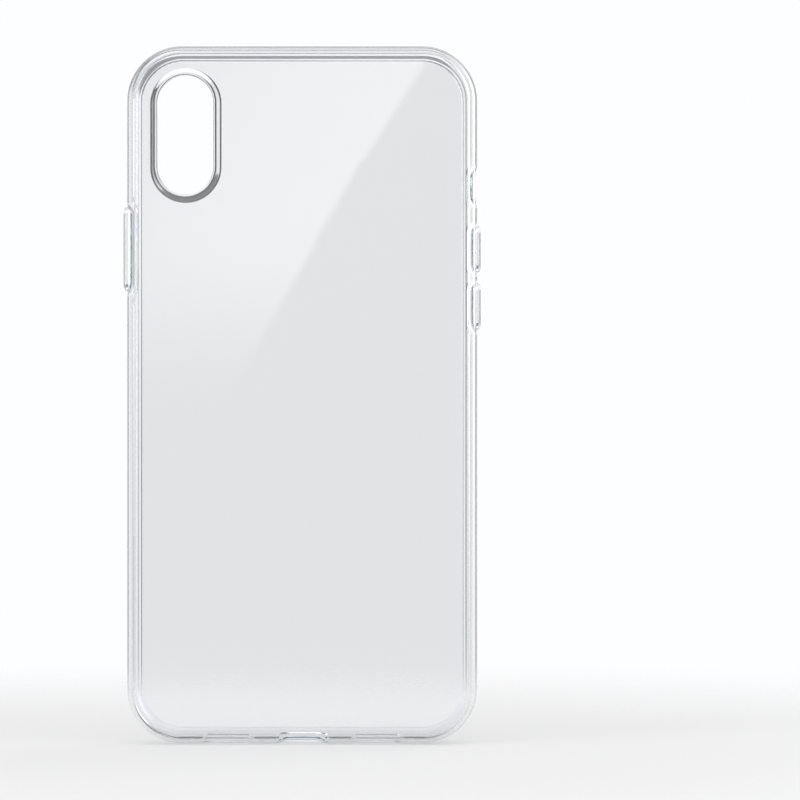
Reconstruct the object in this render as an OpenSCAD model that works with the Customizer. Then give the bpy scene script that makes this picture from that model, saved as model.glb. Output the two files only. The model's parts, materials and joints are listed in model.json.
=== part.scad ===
// Clear flexible phone case, empty and at its moulded shape.
// Units are millimetres and +Z is up, along the length of the phone.
// The outer back faces -Y and the open screen side faces +Y.
// The origin is the centre of the phone pocket.

/* [Phone] */
// Width of the phone the pocket is made for
phone_width = 70.9; // [60:0.1:85]
// Height of the phone
phone_height = 143.6; // [130:0.1:175]
// Thickness of the phone
phone_depth = 7.7; // [7:0.1:10]

/* [Shell] */
// Thickness of the back panel and of the walls
shell = 1.2; // [0.8:0.1:1.8]
// Outer corner radius, seen from the back
corner_radius = 11.5; // [9:0.5:14]
// Radius of the outward curve of the walls, seen in section
crown_radius = 8.0; // [6.5:0.5:12]
// Radius of the rounded edge between the back and the walls
edge_radius = 2.6; // [2:0.1:3]
// Height of the line the top peels back from
bend_height = -9.5; // [-30:0.5:5]
// Space between the lower and the upper shell at that line
bend_gap = 0.3; // [0.1:0.05:0.6]

/* [Screen lip] */
// How far the lip stands in front of the screen
lip_rise = 0.9; // [0.5:0.1:1.5]
// How far the lip reaches in from the side of the phone
lip_reach = 1.8; // [1.6:0.1:2.4]
// Rounding of the inner edge of the lip
lip_round = 0.4; // [0.1:0.1:0.4]

/* [Camera opening] */
// Width of the camera opening
camera_width = 11.5; // [8:0.1:14]
// Height of the camera opening
camera_height = 24.8; // [12:0.1:30]
// Sideways distance of the opening from the centre line
camera_offset = 24.2; // [18:0.1:25]
// Height of the centre of the opening
camera_level = 54.1; // [45:0.1:55]
// Width of the raised guard around the opening
guard_width = 1.2; // [0.8:0.1:2]
// How far the guard stands out from the back
guard_rise = 0.7; // [0.3:0.1:1.5]
// Rounding of the two edges of the guard
guard_round = 0.45; // [0.1:0.05:0.5]

/* [Side buttons] */
// Length of the power button cover
power_length = 17.6; // [12:0.1:22]
// Height of the centre of the power button cover
power_level = 30.5; // [20:0.5:40]
// Length of each volume button cover
volume_length = 9.8; // [7:0.1:10]
// Heights of the centres of the volume down and volume up covers
volume_levels = [18.5, 30.5];
// Width of every button cover
button_width = 3.4; // [2.4:0.1:4]
// How far a button cover stands out from the wall
button_rise = 0.75; // [0.3:0.05:1.2]
// Rounding of the outer edge of a button cover
button_round = 0.6; // [0.2:0.1:0.7]
// Clearance around a button cover
button_gap = 0.25; // [0.15:0.05:0.4]
// Thickness of the outer skin of a button cover
button_skin = 0.9; // [0.6:0.1:1.2]
// How far the pusher inside a cover stops short of the pocket
pusher_inset = 0.3; // [0.1:0.1:0.6]

/* [Wall openings] */
// Length of the opening over the mute switch
mute_length = 8.0; // [6:0.5:10]
// Width of the opening over the mute switch
mute_width = 4.6; // [4.2:0.1:5]
// Height of the centre of the opening over the mute switch
mute_level = 43.5; // [38:0.5:52]
// Length of the charging port opening
port_length = 10.4; // [9:0.1:14]
// Width of the charging port opening
port_width = 4.8; // [4.2:0.1:5]
// Length of each sound slot beside the port
sound_length = 9.6; // [5:0.1:12]
// Width of each sound slot
sound_width = 2.4; // [1.5:0.1:4]
// Distance of each sound slot from the centre line
sound_offset = 15.5; // [13:0.5:18]

/* [Hidden] */
// Number of segments that stands for a full circle
round_fn = 64;
// Outer size of the case
case_width = phone_width + 2 * shell;
case_height = phone_height + 2 * shell;
// Faces of the case along its thickness
pocket_back = -phone_depth / 2;
outer_back = pocket_back - shell;
screen_face = phone_depth / 2;
// Centres of the four corner arcs
corner_x = case_width / 2 - corner_radius;
corner_z = case_height / 2 - corner_radius;
// The crowned wall meets the back edge and the lip in one smooth line.
// Radii are measured from a corner centre, and levels along the thickness.
crown_centre = corner_radius - crown_radius;
edge_level = outer_back + edge_radius;
edge_slope = edge_level / (crown_radius - edge_radius);
flat_corner = crown_centre + sqrt(pow(crown_radius - edge_radius, 2) - pow(edge_level, 2));
front_slope = screen_face / crown_radius;
front_radius = thousandth(lip_rise / (1 - front_slope));
front_level = screen_face + lip_rise - front_radius;
front_run = sqrt(pow(crown_radius - front_radius, 2) - pow(front_level, 2));
front_corner = crown_centre + thousandth(front_run);
lip_inner = corner_radius - shell - lip_reach;
// The flat part of the back
flat_width = 2 * (corner_x + flat_corner);
flat_height = 2 * (corner_z + flat_corner);
// Ends of the two shells at the bend line
lower_end = bend_height - bend_gap / 2;
upper_end = bend_height + bend_gap / 2;
// A button cover fills its hole and stands out from the wall
cover_depth = shell + button_rise;
cover_rim = 0.7;
// Room added so a cut passes fully through a wall
cut = 1;
clear_tpu = [0.86, 0.90, 0.94, 0.45];
edge_tpu = [0.76, 0.82, 0.88, 0.55];
pad_tpu = [0.66, 0.74, 0.82, 0.65];

// Piece to draw

// Length rounded to a thousandth of a millimetre
function thousandth(length) = round(length * 1000) / 1000;

// ---- outlines ----

// A slot with round ends, its length along the first axis
module slot_outline(length, width) {
    square([length - width, width], center = true);
    for (side = [-1, 1])
        translate([side * (length - width) / 2, 0])
            circle(d = width, $fn = round_fn);
}

// Area inside the crowned wall and the back edge, moved inwards by inset
module side_area(inset, to_level) {
    meet = (crown_radius - inset) * edge_slope;
    intersection() {
        translate([crown_centre, 0])
            circle(r = crown_radius - inset, $fn = round_fn);
        translate([flat_corner - cut, meet])
            square([corner_radius, to_level - meet]);
    }
    intersection() {
        translate([flat_corner, edge_level])
            circle(r = edge_radius - inset, $fn = round_fn);
        translate([flat_corner, outer_back - cut])
            square([corner_radius, meet - outer_back + cut]);
    }
    translate([flat_corner - cut, outer_back + inset])
        square([cut, meet - outer_back - inset]);
}

// Section of a wall and its rounded back edge, from a corner centre outwards
module wall_section() {
    intersection() {
        difference() {
            side_area(0, screen_face + cut);
            side_area(shell, screen_face + 2 * cut);
        }
        translate([flat_corner, outer_back - cut])
            square([corner_radius, screen_face - outer_back + cut]);
    }
}

// Section of the lip in front of the screen, rounded on both front edges
module lip_section() {
    intersection() {
        translate([front_corner, front_level])
            circle(r = front_radius, $fn = round_fn);
        translate([front_corner, screen_face])
            square([front_radius + cut, lip_rise + cut]);
    }
    translate([lip_inner + lip_round, screen_face])
        square([front_corner - lip_inner - lip_round, lip_rise]);
    translate([lip_inner, screen_face])
        square([lip_round, lip_rise - lip_round]);
    intersection() {
        translate([lip_inner + lip_round, screen_face + lip_rise - lip_round])
            circle(r = lip_round, $fn = round_fn);
        translate([lip_inner - cut, screen_face + lip_rise - lip_round])
            square([lip_round + cut, lip_round + cut]);
    }
}

// Outline of the flat part of the back
module flat_outline() {
    square([flat_width, 2 * corner_z], center = true);
    square([2 * corner_x, flat_height], center = true);
    for (x = [-corner_x, corner_x])
        for (z = [-corner_z, corner_z])
            translate([x, z])
                circle(r = flat_corner, $fn = round_fn);
}

// ---- shapes shared by several pieces ----

// Straight run of a section along the right side, between two heights
module side_run(from, to) {
    translate([corner_x, 0, from])
        linear_extrude(height = to - from)
            children();
}

// Straight run of a section along the bottom
module bottom_run() {
    rotate([0, 90, 0])
        translate([corner_z, 0, -corner_x])
            linear_extrude(height = 2 * corner_x)
                children();
}

// Quarter turn of a section round the bottom right corner
module corner_turn() {
    translate([corner_x, 0, -corner_z])
        rotate([-90, 0, 0])
            rotate_extrude(angle = 90, $fn = round_fn)
                children();
}

// Plate standing on the back of the pocket, thickened outwards
module back_plate() {
    translate([0, pocket_back, 0])
        rotate([90, 0, 0])
            linear_extrude(height = shell)
                children();
}

// Slot cut through the right wall, long side upright
module side_slot(length, width, level) {
    translate([phone_width / 2 - cut, 0, level])
        rotate([0, 90, 0])
            linear_extrude(height = shell + 2 * cut)
                slot_outline(length, width);
}

// Slot cut through the bottom wall
module bottom_slot(length, width, offset_x) {
    translate([offset_x, 0, -case_height / 2 - cut])
        linear_extrude(height = shell + 2 * cut)
            slot_outline(length, width);
}

// Half section of a button cover, from its middle to its rounded rim
module cover_half_section() {
    square([button_width / 2, cover_depth - button_round]);
    square([button_width / 2 - button_round, cover_depth]);
    intersection() {
        translate([button_width / 2 - button_round, cover_depth - button_round])
            circle(r = button_round, $fn = round_fn);
        square([button_width / 2, cover_depth]);
    }
}

// Solid cover with round ends, standing on its inner face
module cover_blank(length) {
    straight = length - button_width;
    for (side = [0, 1])
        mirror([side, 0, 0])
            translate([straight / 2, 0, 0])
                rotate([0, 0, -90])
                    rotate_extrude(angle = 180, $fn = round_fn)
                        cover_half_section();
    for (side = [0, 1])
        mirror([0, side, 0])
            rotate([90, 0, 90])
                translate([0, 0, -straight / 2])
                    linear_extrude(height = straight)
                        cover_half_section();
}

// Cover hollowed from inside so that it fits over a phone button
module button_cover(length, level) {
    translate([phone_width / 2, 0, level])
        rotate([0, 90, 0])
            difference() {
                cover_blank(length);
                translate([0, 0, -cut])
                    linear_extrude(height = cover_depth - button_skin + cut)
                        slot_outline(length - 2 * cover_rim, button_width - 2 * cover_rim);
            }
}

// Nub inside a cover that reaches the phone button
module button_pusher(length, level) {
    translate([phone_width / 2 + pusher_inset, 0, level])
        rotate([0, 90, 0])
            linear_extrude(height = cover_depth - button_skin - pusher_inset)
                slot_outline(length / 2, button_width - 3 * cover_rim);
}

// Hole in the right wall around a button cover
module button_hole(length, level) {
    side_slot(length + 2 * button_gap, button_width + 2 * button_gap, level);
}

// ---- lower shell, which stays on the phone ----

module back_panel_lower() {
    color(clear_tpu)
        back_plate()
            intersection() {
                flat_outline();
                translate([-flat_width / 2, -flat_height / 2])
                    square([flat_width, lower_end + flat_height / 2]);
            }
}

module right_wall_lower() {
    color(edge_tpu)
        side_run(-corner_z, lower_end)
            wall_section();
}

module left_wall_lower() {
    mirror([1, 0, 0])
        right_wall_lower();
}

module bottom_wall() {
    color(edge_tpu)
        difference() {
            bottom_run()
                wall_section();
            bottom_slot(port_length, port_width, 0);
            for (side = [-1, 1])
                bottom_slot(sound_length, sound_width, side * sound_offset);
        }
}

module corner_bottom_right() {
    color(edge_tpu)
        corner_turn()
            wall_section();
}

module corner_bottom_left() {
    mirror([1, 0, 0])
        corner_bottom_right();
}

module screen_lip_lower() {
    color(edge_tpu)
        union() {
            bottom_run()
                lip_section();
            for (side = [0, 1])
                mirror([side, 0, 0]) {
                    corner_turn()
                        lip_section();
                    side_run(-corner_z, lower_end)
                        lip_section();
                }
        }
}

// ---- upper shell, which peels back from the phone ----

module back_panel_upper() {
    color(clear_tpu)
        back_plate()
            difference() {
                intersection() {
                    flat_outline();
                    translate([-flat_width / 2, upper_end])
                        square([flat_width, flat_height / 2 - upper_end]);
                }
                translate([-camera_offset, camera_level])
                    rotate([0, 0, 90])
                        slot_outline(camera_height, camera_width);
            }
}

module right_wall_upper() {
    color(edge_tpu)
        difference() {
            side_run(upper_end, corner_z)
                wall_section();
            side_slot(mute_length, mute_width, mute_level);
            for (level = volume_levels)
                button_hole(volume_length, level);
        }
}

module left_wall_upper() {
    color(edge_tpu)
        mirror([1, 0, 0])
            difference() {
                side_run(upper_end, corner_z)
                    wall_section();
                button_hole(power_length, power_level);
            }
}

module top_wall() {
    color(edge_tpu)
        mirror([0, 0, 1])
            bottom_run()
                wall_section();
}

module corner_top_right() {
    mirror([0, 0, 1])
        corner_bottom_right();
}

module corner_top_left() {
    mirror([1, 0, 0])
        corner_top_right();
}

module screen_lip_upper() {
    color(edge_tpu)
        union() {
            mirror([0, 0, 1])
                bottom_run()
                    lip_section();
            for (side = [0, 1])
                mirror([side, 0, 0]) {
                    mirror([0, 0, 1])
                        corner_turn()
                            lip_section();
                    side_run(upper_end, corner_z)
                        lip_section();
                }
        }
}

// Section of the guard ring, rounded on both outer edges
module guard_section() {
    square([guard_width, guard_rise - guard_round]);
    translate([guard_round, 0])
        square([guard_width - 2 * guard_round, guard_rise]);
    for (across = [guard_round, guard_width - guard_round])
        intersection() {
            translate([across, guard_rise - guard_round])
                circle(r = guard_round, $fn = round_fn);
            square([guard_width, guard_rise]);
        }
}

module camera_guard() {
    straight = camera_height - camera_width;
    color(edge_tpu)
        translate([-camera_offset, outer_back, camera_level])
            rotate([90, 0, 0])
                for (end = [0, 1])
                    mirror([0, end, 0]) {
                        translate([0, straight / 2, 0])
                            rotate_extrude(angle = 180, $fn = round_fn)
                                translate([camera_width / 2, 0])
                                    guard_section();
                        mirror([end, 0, 0])
                            translate([camera_width / 2, straight / 2, 0])
                                rotate([90, 0, 0])
                                    linear_extrude(height = straight)
                                        guard_section();
                    }
}

// ---- button covers ----

module power_button() {
    color(pad_tpu)
        mirror([1, 0, 0])
            button_cover(power_length, power_level);
}

module power_button_pusher() {
    color(pad_tpu)
        mirror([1, 0, 0])
            button_pusher(power_length, power_level);
}

module volume_up_button() {
    color(pad_tpu)
        button_cover(volume_length, volume_levels[1]);
}

module volume_up_button_pusher() {
    color(pad_tpu)
        button_pusher(volume_length, volume_levels[1]);
}

module volume_down_button() {
    color(pad_tpu)
        button_cover(volume_length, volume_levels[0]);
}

module volume_down_button_pusher() {
    color(pad_tpu)
        button_pusher(volume_length, volume_levels[0]);
}

back_panel_lower();
left_wall_lower();
right_wall_lower();
bottom_wall();
corner_bottom_left();
corner_bottom_right();
screen_lip_lower();
back_panel_upper();
left_wall_upper();
right_wall_upper();
top_wall();
corner_top_left();
corner_top_right();
screen_lip_upper();
camera_guard();
power_button();
power_button_pusher();
volume_up_button();
volume_up_button_pusher();
volume_down_button();
volume_down_button_pusher();
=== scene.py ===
import json
import math
import bmesh
import bpy
import numpy as np
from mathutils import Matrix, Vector
from mathutils.geometry import delaunay_2d_cdt


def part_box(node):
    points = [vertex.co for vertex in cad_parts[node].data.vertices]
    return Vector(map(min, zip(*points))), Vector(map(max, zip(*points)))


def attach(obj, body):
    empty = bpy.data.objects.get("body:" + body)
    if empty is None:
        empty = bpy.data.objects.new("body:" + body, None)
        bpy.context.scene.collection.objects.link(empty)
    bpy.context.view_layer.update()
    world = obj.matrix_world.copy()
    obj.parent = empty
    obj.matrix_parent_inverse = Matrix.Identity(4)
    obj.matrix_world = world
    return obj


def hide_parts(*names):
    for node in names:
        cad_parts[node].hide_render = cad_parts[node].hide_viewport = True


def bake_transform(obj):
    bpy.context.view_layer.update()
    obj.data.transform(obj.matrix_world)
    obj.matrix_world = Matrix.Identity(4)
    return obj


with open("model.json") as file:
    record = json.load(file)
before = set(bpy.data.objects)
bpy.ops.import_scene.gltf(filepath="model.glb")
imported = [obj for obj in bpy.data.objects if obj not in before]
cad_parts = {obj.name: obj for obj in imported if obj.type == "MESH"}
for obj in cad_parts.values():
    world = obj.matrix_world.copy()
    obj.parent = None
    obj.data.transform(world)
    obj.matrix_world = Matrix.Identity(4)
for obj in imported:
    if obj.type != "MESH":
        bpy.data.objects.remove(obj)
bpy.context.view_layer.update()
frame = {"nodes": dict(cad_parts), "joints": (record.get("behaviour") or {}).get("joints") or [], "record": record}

# ---------------------------------------------------------------------------
# Sizes of the case. Its shapes are worked out in millimetres, and made into metres with their mesh.
# ---------------------------------------------------------------------------
MM = 0.001


def mm_box(node):
    """Lowest and highest corner of a CAD node, in millimetres."""
    lo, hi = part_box(node)
    return np.array(lo) / MM, np.array(hi) / MM


HALF_W = mm_box("right_wall_lower")[1][0]
HALF_H = mm_box("top_wall")[1][2]
BACK = mm_box("back_panel_lower")[0][1]
POCKET = mm_box("back_panel_lower")[1][1]
SCREEN = mm_box("top_wall")[1][1]
FRONT = mm_box("screen_lip_lower")[1][1]
CORNER = np.ptp([b[0] for b in mm_box("corner_bottom_right")])
FLAT = CORNER - (HALF_W - mm_box("back_panel_lower")[1][0])
SHELL = POCKET - BACK
CX, CZ = HALF_W - CORNER, HALF_H - CORNER

CROWN, EDGE = 8.0, 2.6  # radii of the crowned wall and of its rounded back edge
CROWN_C = CORNER - CROWN
A_EDGE = math.asin((BACK + EDGE) / (CROWN - EDGE))
EDGE_Y = BACK + EDGE
A_NOSE = math.asin(SCREEN / CROWN)
NOSE = (FRONT - SCREEN) / (1 - math.sin(A_NOSE))  # the lip carries on from the wall
NOSE_C, NOSE_Y = CROWN_C + (CROWN - NOSE) * math.cos(A_NOSE), FRONT - NOSE
LIP_REACH = 1.8  # how far the lip covers the edge of the screen
LIP_IN = CORNER - SHELL - LIP_REACH  # inner edge of the lip, from a corner centre
LIP_ROUND, LIP_UNDER = 0.4, 0.15  # rounding of its inner edge, in front and underneath

HINGE = next(j for j in frame["joints"] if j["name"] == "top_peel")
HINGE_Z = HINGE["pos_m"][2] / MM
BEND_REACH = 20.5  # how far the bend spreads each way from the hinge line
BEND = (HINGE_Z - BEND_REACH, HINGE_Z + BEND_REACH)


# ---------------------------------------------------------------------------
# The section of the rim, from the flat of the back round to the pocket floor
# ---------------------------------------------------------------------------
def arc(centre, radius, a0, a1, n):
    a = np.linspace(a0, a1, n + 1)
    return [(centre[0] + radius * math.cos(t), centre[1] + radius * math.sin(t)) for t in a]


def rim_section():
    """Points (distance from the corner centre, y), and the ranges of the outer and inner crowned wall."""
    half_pi = math.pi / 2
    edge_c = (FLAT, EDGE_Y)
    inner = CROWN - SHELL
    pts = arc(edge_c, EDGE, -half_pi, A_EDGE, 10)
    out0 = len(pts) - 1
    pts += arc((CROWN_C, 0), CROWN, A_EDGE, A_NOSE, 18)[1:]
    out1 = len(pts) - 1
    pts += arc((NOSE_C, NOSE_Y), NOSE, A_NOSE, half_pi, 8)[1:]
    pts += arc((LIP_IN + LIP_ROUND, FRONT - LIP_ROUND), LIP_ROUND, half_pi, math.pi, 6)
    pts += arc((LIP_IN + LIP_UNDER, SCREEN + LIP_UNDER), LIP_UNDER, math.pi, 1.5 * math.pi, 3)
    in0 = len(pts)
    pts += arc((CROWN_C, 0), inner, math.asin(SCREEN / inner), A_EDGE, 16)
    in1 = len(pts) - 1
    pts += arc(edge_c, EDGE - SHELL, A_EDGE, -half_pi, 8)[1:]
    return np.array(pts), (out0, out1), (in0, in1)


SECTION, OUTER, INNER = rim_section()


def crown_r(y, radius):
    return CROWN_C + math.sqrt(radius * radius - y * y)


# ---------------------------------------------------------------------------
# A mesh gathered patch by patch and welded at the end
# ---------------------------------------------------------------------------
class Gather:
    def __init__(self):
        self.verts, self.faces, self.dotted = [], [], []

    def add(self, verts, faces, dots=0.0):
        base = len(self.verts)
        self.verts += [tuple(v) for v in verts]
        self.faces += [[base + i for i in f] for f in faces]
        self.dotted += [dots] * len(faces)

    def grid(self, rows, dots=0.0, closed=False):
        """Quads between rows of points; closed joins each row's last point to its first."""
        n = len(rows[0])
        wrap = n if closed else n - 1
        faces = [
            [i * n + k, i * n + (k + 1) % n, (i + 1) * n + (k + 1) % n, (i + 1) * n + k]
            for i in range(len(rows) - 1)
            for k in range(wrap)
        ]
        self.add([p for row in rows for p in row], faces, dots)

    def build(self, name, material, angle=40):
        me = bpy.data.meshes.new(name)
        me.from_pydata([[c * MM for c in v] for v in self.verts], [], self.faces)
        me.materials.append(material)
        me.attributes.new("dotted", "FLOAT", "FACE").data.foreach_set("value", self.dotted)
        bm = bmesh.new()
        bm.from_mesh(me)
        bmesh.ops.remove_doubles(bm, verts=bm.verts, dist=2e-6)
        bmesh.ops.delete(bm, geom=[v for v in bm.verts if not v.link_faces], context="VERTS")
        bmesh.ops.recalc_face_normals(bm, faces=bm.faces)
        uv = bm.loops.layers.uv.new("UVMap")
        for f in bm.faces:
            f.smooth = True
            for loop in f.loops:
                loop[uv].uv = (loop.vert.co.x * 5 + 0.5, loop.vert.co.z * 5 + 0.5)
        bm.to_mesh(me)
        bm.free()
        rest = me.attributes.new("rest", "FLOAT_VECTOR", "POINT")
        rest.data.foreach_set("vector", np.array([v.co for v in me.vertices], "f").ravel())
        me.set_sharp_from_angle(angle=math.radians(angle))
        ob = bpy.data.objects.new(name, me)
        bpy.context.scene.collection.objects.link(ob)
        smooth = ob.modifiers.new("weighted_normal", "WEIGHTED_NORMAL")
        smooth.keep_sharp = True
        smooth.weight = 100
        return ob


# ---------------------------------------------------------------------------
# Runs: the four straight sides and the four corners
# ---------------------------------------------------------------------------
def place(side, t, r, y):
    """Point on a straight side at t along it, r out from the corner line and y through the thickness."""
    return {
        "right": (CX + r, y, t),
        "left": (-CX - r, y, t),
        "top": (t, y, CZ + r),
        "bottom": (t, y, -CZ - r),
    }[side]


def slot_ring(centre, half, radius, n=14):
    """Points (t, y) round a slot with round ends, n of them to each end, from its far end onwards."""
    pts = []
    for end in (1, -1):
        for a in np.linspace(-math.pi / 2, math.pi / 2, n):
            c, s = math.cos(a) * end, math.sin(a) * end
            pts.append((centre + end * half + radius * c, radius * s))
    return pts


def inside_slot(t, y, centre, half, radius):
    return math.hypot(max(abs(t - centre) - half, 0), y) < radius


def holed_patch(boundary, inner_pts, loops, is_hole):
    """Triangles of a convex patch with holes. boundary and each loop are closed lists of 2-D points."""
    pts, edges = [], []
    for loop in [boundary] + loops:
        base = len(pts)
        pts += loop
        edges += [(base + i, base + (i + 1) % len(loop)) for i in range(len(loop))]
    pts += inner_pts
    co, _, faces, _, _, _ = delaunay_2d_cdt([Vector(p) for p in pts], edges, [], 0, 1e-6)
    keep = []
    for f in faces:
        c = sum((co[i] for i in f), Vector((0, 0))) / len(f)
        if not is_hole(c.x, c.y):
            keep.append(list(f))
    return [(c.x, c.y) for c in co], keep


def wall_patch(g, side, levels, holes):
    """The outer and inner crowned wall along levels, with rounded slots cut through it.
    holes: (centre, half length of the straight part, radius, outer rounding, inner rounding)."""
    for (i0, i1), radius, sign in ((OUTER, CROWN, -1), (INNER, CROWN - SHELL, 1)):
        ys = [float(SECTION[i][1]) for i in range(i0, i1 + 1)]
        soft = [h[3] if sign < 0 else h[4] for h in holes]
        boundary = [(t, ys[0]) for t in levels]
        boundary += [(levels[-1], y) for y in ys[1:]]
        boundary += [(t, ys[-1]) for t in levels[-2::-1]]
        boundary += [(levels[0], y) for y in ys[-2:0:-1]]
        loops = [slot_ring(h[0], h[1], h[2] + s) for h, s in zip(holes, soft)]

        def hole(t, y, grow=0.0):
            return any(inside_slot(t, y, h[0], h[1], h[2] + s + grow) for h, s in zip(holes, soft))

        inner_pts = [(t, y) for t in levels[1:-1] for y in ys[1:-1] if not hole(t, y, 0.18)]
        co, faces = holed_patch(boundary, inner_pts, loops, lambda t, y: hole(t, y, -0.01))
        g.add([place(side, t, crown_r(y, radius), y) for t, y in co], faces)
    for centre, half, radius, out_round, in_round in holes:
        rows = []
        for a in np.linspace(0, math.pi / 2, 7):
            ring = slot_ring(centre, half, radius + out_round * (1 - math.sin(a)))
            drop = out_round * (1 - math.cos(a))
            rows.append([place(side, t, crown_r(y, CROWN) - drop, y) for t, y in ring])
        for a in np.linspace(math.pi / 2, 0, 5):
            ring = slot_ring(centre, half, radius + in_round * (1 - math.sin(a)))
            rise = in_round * (1 - math.cos(a))
            rows.append([place(side, t, crown_r(y, CROWN - SHELL) + rise, y) for t, y in ring])
        g.grid(rows, closed=True)


def steps(a, b, size):
    n = max(1, int(round((b - a) / size)))
    return list(np.linspace(a, b, n + 1))


PLAIN_STEP, BEND_STEP, OPENING_STEP = 6.0, 1.0, 0.9  # spacing of the rings along the long sides


def side_levels():
    """Heights of the rings, close together where the moulding bends and at the openings."""
    z = steps(-CZ, BEND[0], PLAIN_STEP)[:-1]
    z += steps(BEND[0], BEND[1], BEND_STEP)[:-1]
    z += steps(BEND[1], CZ, OPENING_STEP)
    return [float(v) for v in z]


BUTTON_GAP = 0.25
COVER_EDGES = (0.7, 0.2)  # outer and inner rounding of the hole round a button cover
OPENING_EDGES = (0.45, 0.3)
SOUND_EDGES = (0.35, 0.3)
MUTE_LENGTH, MUTE_WIDTH = 8.0, 4.6
PORT_LENGTH, PORT_WIDTH = 10.4, 4.8
SOUND_LENGTH, SOUND_WIDTH, SOUND_OFFSET = 9.6, 2.4, 15.5


def cover_hole(node):
    """A wall hole that clears the button cover made as this CAD node."""
    lo, hi = mm_box(node)
    radius = (hi[1] - lo[1]) / 2
    half = (hi[2] - lo[2]) / 2 - radius
    return ((lo[2] + hi[2]) / 2, half, radius + BUTTON_GAP, *COVER_EDGES)


def slot_hole(centre, length, width, edges):
    return (float(centre), (length - width) / 2, width / 2, *edges)


def record_opening(name):
    boxes = {o["name"]: np.array(o["box_m"]) / MM for o in frame["record"]["physics"]["openings"]}
    return boxes[name]


MUTE_LEVEL = record_opening("mute_switch_opening")[:, 2].mean()
PORT_CENTRE = record_opening("charging_port_opening")[:, 0].mean()
HOLES = {
    "right": [
        cover_hole("volume_down_button"),
        cover_hole("volume_up_button"),
        slot_hole(MUTE_LEVEL, MUTE_LENGTH, MUTE_WIDTH, OPENING_EDGES),
    ],
    "left": [cover_hole("power_button")],
    "bottom": [
        slot_hole(-SOUND_OFFSET, SOUND_LENGTH, SOUND_WIDTH, SOUND_EDGES),
        slot_hole(PORT_CENTRE, PORT_LENGTH, PORT_WIDTH, OPENING_EDGES),
        slot_hole(SOUND_OFFSET, SOUND_LENGTH, SOUND_WIDTH, SOUND_EDGES),
    ],
    "top": [],
}
HOLE_MARGIN = 2.0  # plain wall kept in the patch past its first and last hole


def straight_side(g, side, levels):
    """One side: the section carried along levels, with the stretch that has holes made as a patch."""
    holes = HOLES[side]
    first, last = levels[0], levels[-1]
    if holes:
        low = min(h[0] - h[1] - h[2] for h in holes) - HOLE_MARGIN
        high = max(h[0] + h[1] + h[2] for h in holes) + HOLE_MARGIN
        first = max(t for t in levels if t <= low)
        last = min(t for t in levels if t >= high)
        wall_patch(g, side, [t for t in levels if first <= t <= last], holes)
    n = len(SECTION)
    rows = [[place(side, t, r, y) for r, y in SECTION] for t in levels]
    for i in range(len(levels) - 1):
        holed = holes and first <= levels[i] < last
        faces = []
        for k in range(n - 1):
            walled = OUTER[0] <= k < OUTER[1] or INNER[0] <= k < INNER[1]
            if not (holed and walled):
                faces.append([k, k + 1, n + k + 1, n + k])
        g.add(rows[i] + rows[i + 1], faces)


CORNER_ANGLES = np.linspace(0, math.pi / 2, 23)


def corner(g, sx, sz):
    rows = []
    for a in CORNER_ANGLES:
        c, s = math.cos(a), math.sin(a)
        rows.append([(sx * (CX + r * c), y, sz * (CZ + r * s)) for r, y in SECTION])
    g.grid(rows)


def corner_levels():
    """Heights of the corner's rings on the edge of the flat part of the back."""
    return [CZ + FLAT * math.sin(a) for a in CORNER_ANGLES]


# ---------------------------------------------------------------------------
# The flat of the back, outside and inside, and the ring round the camera
# ---------------------------------------------------------------------------
GUARD_LO, GUARD_HI = mm_box("camera_guard")
CAM_X = (GUARD_LO[0] + GUARD_HI[0]) / 2
CAM_Z = (GUARD_LO[2] + GUARD_HI[2]) / 2
GUARD_R = (GUARD_HI[0] - GUARD_LO[0]) / 2
GUARD_HALF = (GUARD_HI[2] - GUARD_LO[2]) / 2 - GUARD_R
GUARD_TOP = GUARD_LO[1]
GUARD_WALL, GUARD_SPREAD = 1.2, 0.6  # width of the guard, and how far its slope runs on past it
GUARD_ROUND, GUARD_CREST = 0.25, 0.12  # rounding inside its top, and the flat of its top
OPEN_ROUND = 0.25  # rounding of the opening on the pocket side


def ring_xz(radius, n=26):
    """The upright slot round the camera as (x, z)."""
    return [(CAM_X + y, t) for t, y in slot_ring(CAM_Z, GUARD_HALF, radius, n)]


def flat_cap(g, y, hole_radius, levels, arc_levels, cross, split, dots):
    """The flat part at this y: rows of quads below split, and one holed patch above it."""
    def half_width(z):
        d = abs(z) - CZ
        return CX + (math.sqrt(max(FLAT * FLAT - d * d, 0)) if d > 0 else FLAT)

    low = [-z for z in arc_levels[::-1]] + levels[1:]
    low = [z for z in low if z <= split + 1e-6]
    rows = [[(-half_width(z), y, z), (half_width(z), y, z)] for z in low]
    bottom = [(x, y, low[0]) for x in cross]
    g.add([*bottom, rows[1][1], rows[1][0]], [list(range(len(bottom) + 2))], dots)
    g.grid(rows[1:], dots)
    up = [z for z in levels if z >= split - 1e-6]
    right = [(half_width(z), z) for z in up] + [(half_width(z), z) for z in arc_levels[1:-1]]
    top = [(x, CZ + FLAT) for x in (CX, -CX)]
    left = [(-x, z) for x, z in right[::-1]]
    pts, faces = holed_patch(
        right + top + left,
        [],
        [ring_xz(hole_radius)],
        lambda x, z: math.hypot(x - CAM_X, max(abs(z - CAM_Z) - GUARD_HALF, 0)) < hole_radius - 0.01,
    )
    g.add([(x, y, z) for x, z in pts], faces, dots)


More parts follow.
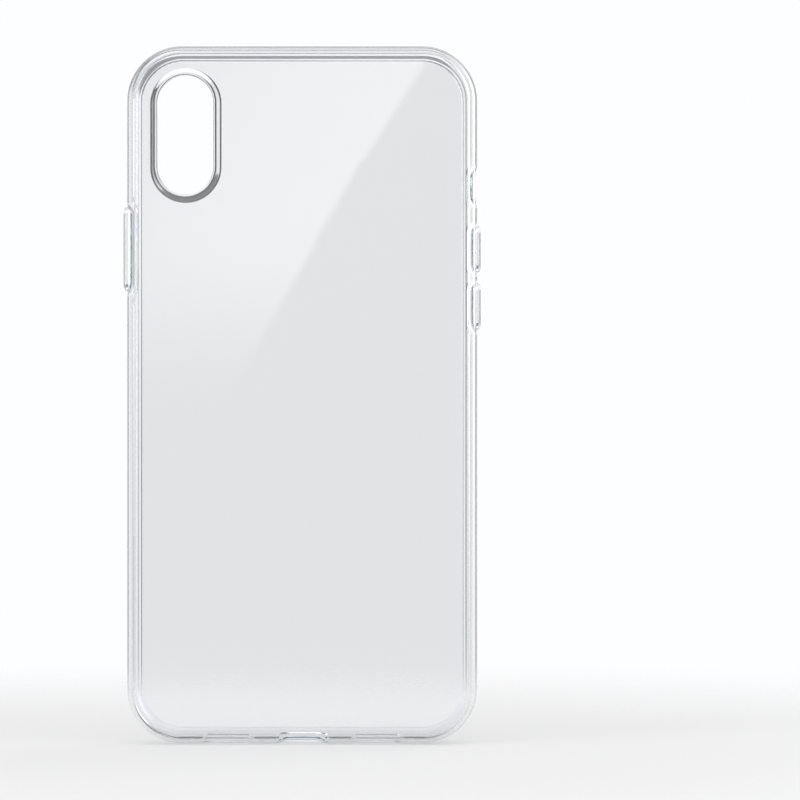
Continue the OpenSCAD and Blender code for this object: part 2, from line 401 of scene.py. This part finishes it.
def camera_ring(g):
    """The guard: a narrow crest round the opening that slopes out to the back, and the opening's own edge."""
    inner = GUARD_R - GUARD_WALL
    crest, foot = inner + GUARD_ROUND + GUARD_CREST, GUARD_R + GUARD_SPREAD
    section = []
    for u in np.linspace(1, 0, 17):
        rise = math.cos(u * math.pi / 2) ** 2
        section.append((crest + u * (foot - crest), BACK + (GUARD_TOP - BACK) * rise))
    for a in np.linspace(math.pi / 2, 0, 7):
        drop = GUARD_ROUND * (1 - math.sin(a))
        section.append((inner + GUARD_ROUND * (1 - math.cos(a)), GUARD_TOP + drop))
    for a in np.linspace(math.pi / 2, 0, 5):
        drop = OPEN_ROUND * (1 - math.cos(a))
        section.append((inner + OPEN_ROUND * (1 - math.sin(a)), POCKET - drop))
    g.grid([[(x, y, z) for x, z in ring_xz(r)] for r, y in section], closed=True)
    return section[0][0], section[-1][0]


# ---------------------------------------------------------------------------
# Materials
# ---------------------------------------------------------------------------
class Tree:
    """Short ways to add the nodes that a shader needs more than once."""

    def __init__(self, owner):
        owner.use_nodes = True
        self.nodes, self.links = owner.node_tree.nodes, owner.node_tree.links

    def put(self, value, socket):
        if isinstance(value, (int, float, tuple)):
            socket.default_value = value
        else:
            self.links.new(value, socket)

    def attribute(self, name):
        n = self.nodes.new("ShaderNodeAttribute")
        n.attribute_name = name
        return n.outputs

    def math(self, op, *values):
        n = self.nodes.new("ShaderNodeMath")
        n.operation = op
        for value, socket in zip(values, n.inputs):
            self.put(value, socket)
        return n.outputs[0]

    def smooth(self, value, low, high, at_low, at_high):
        n = self.nodes.new("ShaderNodeMapRange")
        n.interpolation_type = "SMOOTHSTEP"
        for key, v in (("From Min", low), ("From Max", high), ("To Min", at_low), ("To Max", at_high)):
            n.inputs[key].default_value = v
        self.put(value, n.inputs["Value"])
        return n.outputs["Result"]

    def mix(self, factor, a, b):
        n = self.nodes.new("ShaderNodeMix")
        for value, socket in zip((factor, a, b), (n.inputs[0], n.inputs[2], n.inputs[3])):
            self.put(value, socket)
        return n.outputs[0]

    def noise(self, where, scale, detail):
        n = self.nodes.new("ShaderNodeTexNoise")
        n.inputs["Scale"].default_value = scale
        n.inputs["Detail"].default_value = detail
        self.links.new(where, n.inputs["Vector"])
        return n.outputs["Fac"]

    def bump(self, height, strength, distance, normal=None):
        n = self.nodes.new("ShaderNodeBump")
        n.inputs["Strength"].default_value = strength
        n.inputs["Distance"].default_value = distance
        self.links.new(height, n.inputs["Height"])
        if normal:
            self.links.new(normal, n.inputs["Normal"])
        return n.outputs["Normal"]


SMOOTHEST, ROUGHEST = 0.0, 0.015
RIPPLE_HEIGHT, DOT_HEIGHT = 0.000004, 0.00001  # in metres
DOTS_PER_UV = 480


def inner_dots(t):
    """Fine dots on a slanted grid, only on the faces marked dotted."""
    mapping = t.nodes.new("ShaderNodeMapping")
    mapping.inputs["Rotation"].default_value = (0, 0, math.radians(45))
    uv = t.nodes.new("ShaderNodeUVMap")
    uv.uv_map = "UVMap"
    t.links.new(uv.outputs["UV"], mapping.inputs["Vector"])
    grid = t.nodes.new("ShaderNodeTexVoronoi")
    grid.voronoi_dimensions = "2D"
    grid.inputs["Randomness"].default_value = 0.0
    grid.inputs["Scale"].default_value = DOTS_PER_UV
    t.links.new(mapping.outputs["Vector"], grid.inputs["Vector"])
    dot = t.smooth(grid.outputs["Distance"], 0.12, 0.36, 1.0, 0.0)
    return t.math("MULTIPLY", dot, t.attribute("dotted")["Fac"])


def clear_material(name):
    """Clear soft plastic: fine ripple of the moulding, slightly uneven gloss, and dots inside the back."""
    m = bpy.data.materials.new(name)
    t = Tree(m)
    bsdf = t.nodes["Principled BSDF"]
    bsdf.inputs["Base Color"].default_value = (0.985, 0.992, 1.0, 1)
    bsdf.inputs["Transmission Weight"].default_value = 1.0
    bsdf.inputs["IOR"].default_value = 1.47
    rest = t.attribute("rest")["Vector"]
    gloss = t.smooth(t.noise(rest, 160, 3), 0.35, 0.7, SMOOTHEST, ROUGHEST)
    t.links.new(gloss, bsdf.inputs["Roughness"])
    ripple = t.bump(t.noise(rest, 30, 1), 0.3, RIPPLE_HEIGHT)
    t.links.new(t.bump(inner_dots(t), 0.3, DOT_HEIGHT, ripple), bsdf.inputs["Normal"])

    absorb = t.nodes.new("ShaderNodeVolumeAbsorption")
    absorb.inputs["Color"].default_value = (0.62, 0.78, 0.90, 1)
    absorb.inputs["Density"].default_value = 18.0
    t.links.new(absorb.outputs["Volume"], t.nodes["Material Output"].inputs["Volume"])
    return m


CLEAR = clear_material("clear_tpu")


# ---------------------------------------------------------------------------
# The moulding
# ---------------------------------------------------------------------------
CROSS_STEP = 1.2  # spacing of the rings along the bottom


def make_shell():
    g = Gather()
    levels = side_levels()
    cross = steps(-CX, CX, CROSS_STEP)
    straight_side(g, "right", levels)
    straight_side(g, "left", levels)
    straight_side(g, "bottom", cross)
    straight_side(g, "top", [-CX, CX])
    for sx in (1, -1):
        for sz in (1, -1):
            corner(g, sx, sz)
    arc_levels = corner_levels()
    foot, mouth = camera_ring(g)
    split = min(z for z in levels if z >= BEND[1])
    flat_cap(g, BACK, foot, levels, arc_levels, cross, split, dots=0.0)
    flat_cap(g, POCKET, mouth, levels, arc_levels, cross, split, dots=1.0)
    ob = g.build("case_shell", CLEAR)
    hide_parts(*[n for n in frame["nodes"] if "button" not in n])
    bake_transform(ob)


def slot_solid(name, side, centre, half, rings):
    """A closed piece swept round a slot: rings of (radius, distance out from the pocket)."""
    g = Gather()
    rows = [
        [place(side, t, CORNER - SHELL + out, y) for t, y in slot_ring(centre, half, radius, 14)]
        for radius, out in rings
    ]
    g.grid(rows, closed=True)
    n = len(rows[0])
    g.add(rows[0], [list(range(n))])
    g.add(rows[-1], [list(range(n))])
    return g.build(name, CLEAR, angle=30)


COVER_SKIN, COVER_RIM = 0.9, 0.7  # thickness of a cover outside its hollow, and of its rim
COVER_SOFT, COVER_DOME = 0.25, 1.2  # rounding of the rim and of the hollow, and of the outer face
COVER_CREASE = math.radians(40)  # how far up its round the outer face starts
HOLLOW_HUB, DOME_HUB, NUB_HUB = 0.3, 0.25, 0.15  # half width of the flat in the middle of each face
NUB_ROUND = 0.12
HAIR = 0.02  # last rise in the middle of the dome, and the space between a nub and its cover


def slot_of(node):
    """Radius, centre and half length of the straight part of a CAD node shaped like a slot."""
    lo, hi = mm_box(node)
    radius = (hi[1] - lo[1]) / 2
    return radius, (lo[2] + hi[2]) / 2, (hi[2] - lo[2]) / 2 - radius


def cover_rings(radius, depth):
    """From the middle of the hollow, over the rim and up to the middle of the domed outer face."""
    floor = depth - COVER_SKIN
    hollow = radius - COVER_RIM
    angles = np.linspace(0, math.pi / 2, 5)
    quarter = [(COVER_SOFT * (1 - math.sin(a)), COVER_SOFT * (1 - math.cos(a))) for a in angles]
    rings = [(HOLLOW_HUB, floor)]
    rings += [(hollow - p, floor - q) for p, q in quarter]
    rings += [(hollow + q, p) for p, q in quarter]
    rings += [(radius - p, q) for p, q in quarter]
    for a in np.linspace(COVER_CREASE, math.pi / 2, 8):
        inwards = COVER_DOME * (math.cos(COVER_CREASE) - math.cos(a))
        rings.append((radius - inwards, depth - HAIR - COVER_DOME * (1 - math.sin(a))))
    rings.append((DOME_HUB, depth))
    return rings


def make_button(node, side, body):
    radius, centre, half = slot_of(node)
    lo, hi = mm_box(node)
    depth = hi[0] - lo[0]
    cover = slot_solid(node + "_cover", side, centre, half, cover_rings(radius, depth))
    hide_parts(node)
    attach(cover, body)

    radius, centre, half = slot_of(node + "_pusher")
    lo, hi = mm_box(node + "_pusher")
    inset = abs(hi[0] if side == "left" else lo[0]) - (CX + CORNER - SHELL)
    end = depth - COVER_SKIN - HAIR
    rings = [(NUB_HUB, inset), (radius - NUB_ROUND, inset), (radius, inset + NUB_ROUND)]
    rings += [(radius, end), (NUB_HUB, end)]
    nub = slot_solid(node + "_nub", side, centre, half, rings)
    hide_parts(node + "_pusher")
    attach(nub, body)


make_shell()
make_button("power_button", "left", "power_key")
make_button("volume_up_button", "right", "volume_up_key")
make_button("volume_down_button", "right", "volume_down_key")


# ---------------------------------------------------------------------------
# Floor, light and camera, all in metres
# ---------------------------------------------------------------------------
FLOOR_RADIUS, FLOOR_DROP = 0.9, 0.0001
FLOOR_FADE = (0.07, 0.27)  # distances from the middle over which the floor gives way to the room
FLOOR_GLOW = 0.45


def make_floor():
    """A pale floor that gives off a little light of its own and fades out all round."""
    bm = bmesh.new()
    bmesh.ops.create_circle(bm, cap_ends=True, segments=96, radius=FLOOR_RADIUS)
    me = bpy.data.meshes.new("floor")
    bm.to_mesh(me)
    bm.free()
    ob = bpy.data.objects.new("floor", me)
    bpy.context.scene.collection.objects.link(ob)
    ob.location.z = -HALF_H * MM - FLOOR_DROP
    m = bpy.data.materials.new("pale_floor")
    t = Tree(m)
    bsdf = t.nodes["Principled BSDF"]
    bsdf.inputs["Base Color"].default_value = (0.40, 0.40, 0.405, 1)
    bsdf.inputs["Emission Color"].default_value = (1, 1, 1, 1)
    bsdf.inputs["Emission Strength"].default_value = FLOOR_GLOW
    bsdf.inputs["Roughness"].default_value = 0.9
    bsdf.inputs["Specular IOR Level"].default_value = 0.1
    coords = t.nodes.new("ShaderNodeTexCoord")
    length = t.nodes.new("ShaderNodeVectorMath")
    length.operation = "LENGTH"
    t.links.new(coords.outputs["Object"], length.inputs[0])
    clear = t.nodes.new("ShaderNodeBsdfTransparent")
    mix = t.nodes.new("ShaderNodeMixShader")
    t.links.new(t.smooth(length.outputs["Value"], *FLOOR_FADE, 0.0, 1.0), mix.inputs["Fac"])
    t.links.new(bsdf.outputs["BSDF"], mix.inputs[1])
    t.links.new(clear.outputs["BSDF"], mix.inputs[2])
    t.links.new(mix.outputs["Shader"], t.nodes["Material Output"].inputs["Surface"])
    me.materials.append(m)


# How bright the room is at each angle, in degrees, from the direction the case's screen side faces
ROOM = (
    (0, 0.81), (6.3, 0.81), (7.4, 0.04), (14, 0.04), (19, 0.75), (27, 1.0), (46, 1.0),
    (51, 0.55), (70, 0.55), (78, 0.95), (82, 0.3), (87, 0.3), (89, 0.95), (91, 0.95), (93, 0.3),
    (98, 0.3), (102, 0.95), (125, 0.9), (140, 0.45), (180, 0.45),
)
LOW_TONE = 0.81  # the room below the line of sight, seen past the edge of the floor
DARK_PANEL, PALE_PANEL = 0.2, 1.1
# The window's slanted edge, as height over depth against sideways distance over depth
WINDOW_SLANT, WINDOW_SHIFT = 1.71, 0.0424
WINDOW_GLOW, WINDOW_FAR_SIDE = 2.0, 0.45


def make_world():
    """What the clear plastic sees: a pale room with darker rings round the line of sight, so that its
    edges read, two panels past the case, and a window behind the camera. The camera sees plain white."""
    world = bpy.data.worlds.new("studio")
    bpy.context.scene.world = world
    t = Tree(world)
    coords = t.nodes.new("ShaderNodeTexCoord")
    split = t.nodes.new("ShaderNodeSeparateXYZ")
    t.links.new(coords.outputs["Generated"], split.inputs["Vector"])
    across, depth, height = (split.outputs[k] for k in "XYZ")

    ramp = t.nodes.new("ShaderNodeValToRGB")
    stops = ramp.color_ramp.elements
    angle = t.math("DIVIDE", t.math("ARCCOSINE", depth), math.pi)
    t.links.new(angle, ramp.inputs["Fac"])
    while len(stops) < len(ROOM):
        stops.new(0.5)
    for stop, (degrees, tone) in zip(stops, ROOM):
        stop.position = degrees / 180
        stop.color = (tone, tone, tone, 1)
    room = t.mix(t.smooth(height, -0.095, -0.055, 0.0, 1.0), LOW_TONE, ramp.outputs["Color"])
    room = t.math("MULTIPLY", room, t.smooth(height, 0.6, 0.9, 1.0, 0.4))

    # past the case, a dark panel above the line of sight and a pale one below it
    right, up = t.math("DIVIDE", across, depth), t.math("DIVIDE", height, depth)

    def panel(sideways, upright, soft):
        inside = t.smooth(depth, 0.1, 0.3, 0.0, 1.0)
        for value, (start, end) in ((right, sideways), (up, upright)):
            inside = t.math("MULTIPLY", inside, t.smooth(value, start, start + soft, 0.0, 1.0))
            inside = t.math("MULTIPLY", inside, t.smooth(value, end - soft, end, 1.0, 0.0))
        return inside

    room = t.mix(panel((-0.45, 0.2), (0.11, 0.46), soft=0.05), room, DARK_PANEL)
    room = t.mix(panel((-0.4, 0.3), (-0.45, -0.12), soft=0.03), room, PALE_PANEL)

    # the window: one slanted edge, brightest along it, fading down and to the far side
    ahead = t.math("MULTIPLY", depth, -1.0)
    u, v = t.math("DIVIDE", across, ahead), t.math("DIVIDE", height, ahead)
    edge = t.math("MULTIPLY", t.math("ADD", u, WINDOW_SHIFT), WINDOW_SLANT)
    past_edge = t.math("SUBTRACT", v, edge)
    window = t.smooth(past_edge, 0.0, 0.005, 0.0, 1.0)
    window = t.math("MULTIPLY", window, t.smooth(v, -0.004, 0.045, 0.0, 1.0))
    window = t.math("MULTIPLY", window, t.smooth(past_edge, 0.0, 0.16, 1.0, WINDOW_FAR_SIDE))
    window = t.math("MULTIPLY", window, t.smooth(ahead, 0.8, 0.86, 0.0, WINDOW_GLOW))
    tone = t.math("ADD", room, window)

    path = t.nodes.new("ShaderNodeLightPath")
    sky = t.nodes["Background"]
    sky.inputs["Color"].default_value = (0.985, 0.99, 1.0, 1)
    t.links.new(t.mix(path.outputs["Is Camera Ray"], tone, 1.0), sky.inputs["Strength"])


def softbox(name, location, target, size, power, soft_ends=0.0):
    """An area lamp facing target. soft_ends is the share of its length over which each end fades out."""
    light = bpy.data.lights.new(name, "AREA")
    light.shape = "RECTANGLE"
    light.size, light.size_y = size
    light.energy = power
    if soft_ends:
        t = Tree(light)
        split = t.nodes.new("ShaderNodeSeparateXYZ")
        t.links.new(t.nodes.new("ShaderNodeNewGeometry").outputs["Parametric"], split.inputs["Vector"])
        along = split.outputs["Y"]
        rise = t.smooth(along, 0.0, soft_ends, 0.0, 1.0)
        fall = t.smooth(along, 1 - soft_ends, 1.0, 1.0, 0.0)
        t.links.new(t.math("MULTIPLY", rise, fall), t.nodes["Emission"].inputs["Strength"])
    ob = bpy.data.objects.new(name, light)
    bpy.context.scene.collection.objects.link(ob)
    ob.location = location
    direction = Vector(target) - Vector(location)
    ob.rotation_mode = "QUATERNION"
    ob.rotation_quaternion = direction.to_track_quat("-Z", "Y")
    ob.visible_camera = False


VIEW_WIDTH = 0.1667  # what the frame takes in at the back of the case
VIEW_X, VIEW_Z = 0.0205, -0.0011  # middle of the frame


def make_camera():
    """Level with the case and square to its back, with the case left of the middle."""
    cam = bpy.data.cameras.new("camera")
    cam.lens = 180
    cam.sensor_width = 36
    ob = bpy.data.objects.new("camera", cam)
    bpy.context.scene.collection.objects.link(ob)
    ob.location = (VIEW_X, BACK * MM - VIEW_WIDTH * cam.lens / cam.sensor_width, VIEW_Z)
    ob.rotation_euler = (math.radians(90), 0, 0)
    bpy.context.scene.camera = ob


STRIP_SIZE, STRIP_SOFT = (0.4, 1.0), 0.4

make_floor()
make_world()
softbox("top_box", (0.1, -0.25, 0.9), (0, 0, 0), (1.2, 1.2), 6)
softbox("left_strip", (-0.8, -0.55, 0.25), (0, 0, 0.02), STRIP_SIZE, 4.5, STRIP_SOFT)
softbox("back_strip", (0.75, 0.6, 0.3), (0, 0, 0), STRIP_SIZE, 3, STRIP_SOFT)
make_camera()

scene = bpy.context.scene
scene.view_settings.view_transform = "Standard"
scene.cycles.max_bounces = 64
scene.cycles.transmission_bounces = 64
scene.cycles.glossy_bounces = 32
scene.cycles.transparent_max_bounces = 16
scene.cycles.caustics_reflective = True
scene.cycles.caustics_refractive = True
scene.cycles.sample_clamp_indirect = 6
